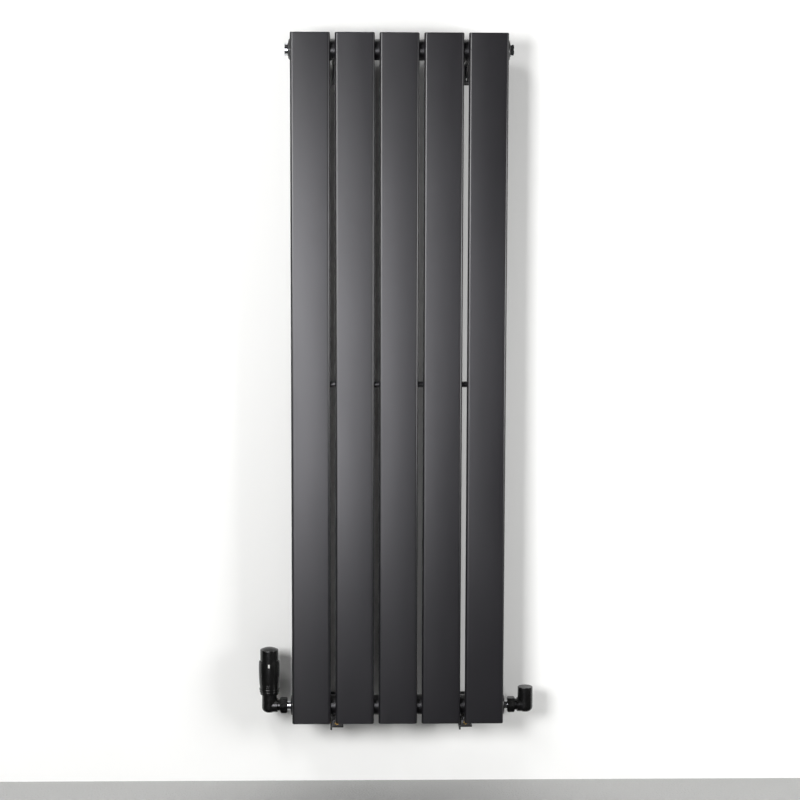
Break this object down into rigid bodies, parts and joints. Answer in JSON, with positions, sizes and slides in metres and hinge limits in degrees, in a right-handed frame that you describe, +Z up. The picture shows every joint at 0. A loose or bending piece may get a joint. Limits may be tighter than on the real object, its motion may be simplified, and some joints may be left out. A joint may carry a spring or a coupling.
{
  "type": "radiator with valve",
  "caption": "Tall vertical flat-panel radiator in anthracite, hung on wall brackets, with a black thermostatic valve and a black lockshield valve at its feet.",
  "frame": {"origin": "centre of the four wall fixings, on the wall plane", "axes": "+Z up, +Y into the wall, +X to the right as seen from the room"},
  "size_m": [0.4871, 0.078, 1.2152],
  "materials": {
    "anthracite_coat": "fine-textured satin powder coat",
    "bracket_paint": "satin black",
    "bracket_plastic": "matt moulded nylon",
    "yellow_zinc": "yellow passivated zinc plate",
    "bright_zinc": "bright zinc plate",
    "chrome": "polished",
    "black_valve_coat": "satin black on brass",
    "black_plastic": "satin black moulding",
    "brass": "machined",
    "steel": "spring and pin steel",
    "rubber": "black sealing rubber",
    "white_mark": "smooth white inlay"
  },
  "bodies": {
    "radiator": {"air_vent_plug": "chrome", "air_vent_seal": "rubber", "blanking_plug": "chrome", "blanking_plug_seal": "rubber", "bracket_bottom_left": "bracket_paint", "bracket_bottom_right": "bracket_paint", "bracket_top_left": "bracket_paint", "bracket_top_right": "bracket_paint", "head_barrel": "black_plastic", "head_lock_ring": "black_plastic", "header_bottom": "anthracite_coat", "header_end_caps_bottom": "anthracite_coat", "header_end_caps_top": "anthracite_coat", "header_saddles": "bracket_plastic", "header_top": "anthracite_coat", "height_nuts": "bright_zinc", "height_screws": "bright_zinc", "hook_liners": "bracket_plastic", "lockshield_bonnet": "brass", "lockshield_stem_seal": "rubber", "lockshield_valve_body": "black_valve_coat", "lockshield_valve_olive": "brass", "lockshield_valve_pipe_nut": "black_valve_coat", "lockshield_valve_tail": "chrome", "lockshield_valve_tail_washer": "rubber", "lockshield_valve_union_nut": "black_valve_coat", "panel_1": "anthracite_coat", "panel_2": "anthracite_coat", "panel_3": "anthracite_coat", "panel_4": "anthracite_coat", "panel_5": "anthracite_coat", "panel_ends_bottom": "anthracite_coat", "panel_ends_top": "anthracite_coat", "panel_nipples_bottom": "anthracite_coat", "panel_nipples_top": "anthracite_coat", "pin_spring": "steel", "saddle_bolts": "yellow_zinc", "saddle_nuts": "yellow_zinc", "spring_seat": "steel", "stiffener_bar": "anthracite_coat", "thermostatic_insert": "brass", "thermostatic_valve_body": "black_valve_coat", "thermostatic_valve_olive": "brass", "thermostatic_valve_pipe_nut": "black_valve_coat", "thermostatic_valve_tail": "chrome", "thermostatic_valve_tail_washer": "rubber", "thermostatic_valve_union_nut": "black_valve_coat"},
    "thermostat": {"thermostat_sensor": "brass", "overload_spring": "steel"},
    "handwheel_assembly": {"handwheel": "black_plastic", "handwheel_cap": "black_plastic", "setting_marks": "white_mark"},
    "pin_assembly": {"valve_pin": "steel", "valve_disc": "rubber"},
    "bleed_tip_body": {"bleed_tip": "rubber"},
    "bleed_screw_body": {"bleed_screw": "brass"},
    "lockshield_disc_assembly": {"lockshield_disc_holder": "black_plastic", "lockshield_disc": "rubber"},
    "lockshield_spindle_body": {"lockshield_spindle": "brass"},
    "lockshield_cap_body": {"lockshield_cap": "black_plastic"}
  },
  "joints": [
    {"name": "sensor_lift", "type": "slide", "parent": "radiator", "child": "thermostat", "axis": [0, 0, 1], "range_m": [-0.0018, 0.0012]},
    {"name": "handwheel_turn", "type": "hinge", "parent": "thermostat", "child": "handwheel_assembly", "pos_m": [-0.2335, -0.049, -0.483], "axis": [0, 0, 1], "range_deg": [-150, 100]},
    {"name": "pin_lift", "type": "slide", "parent": "radiator", "child": "pin_assembly", "axis": [0, 0, 1], "range_m": [-0.0018, 0.0012], "deforming": ["pin_spring"]},
    {"name": "bleed_tip_lift", "type": "slide", "parent": "radiator", "child": "bleed_tip_body", "axis": [-1, 0, 0], "range_m": [0, 0.001]},
    {"name": "bleed_screw_turn", "type": "hinge", "parent": "bleed_tip_body", "child": "bleed_screw_body", "pos_m": [-0.1975, -0.049, 0.573], "axis": [-1, 0, 0], "range_deg": [0, 450]},
    {"name": "lockshield_disc_lift", "type": "slide", "parent": "radiator", "child": "lockshield_disc_assembly", "axis": [0, 0, 1], "range_m": [-0.0015, 0.0015]},
    {"name": "lockshield_spindle_turn", "type": "hinge", "parent": "lockshield_disc_assembly", "child": "lockshield_spindle_body", "pos_m": [0.2205, -0.049, -0.558], "axis": [0, 0, 1], "range_deg": [-540, 540]},
    {"name": "lockshield_cap_lift", "type": "slide", "parent": "radiator", "child": "lockshield_cap_body", "axis": [0, 0, 1], "range_m": [0, 0.025]}
  ],
  "couplings": [
    {"joint": "handwheel_turn", "follows": "sensor_lift", "rad_per_m": 1454.4},
    {"joint": "pin_lift", "follows": "sensor_lift", "ratio": 1},
    {"joint": "bleed_screw_turn", "follows": "bleed_tip_lift", "rad_per_m": 7854},
    {"joint": "lockshield_spindle_turn", "follows": "lockshield_disc_lift", "rad_per_m": 6283.2}
  ]
}
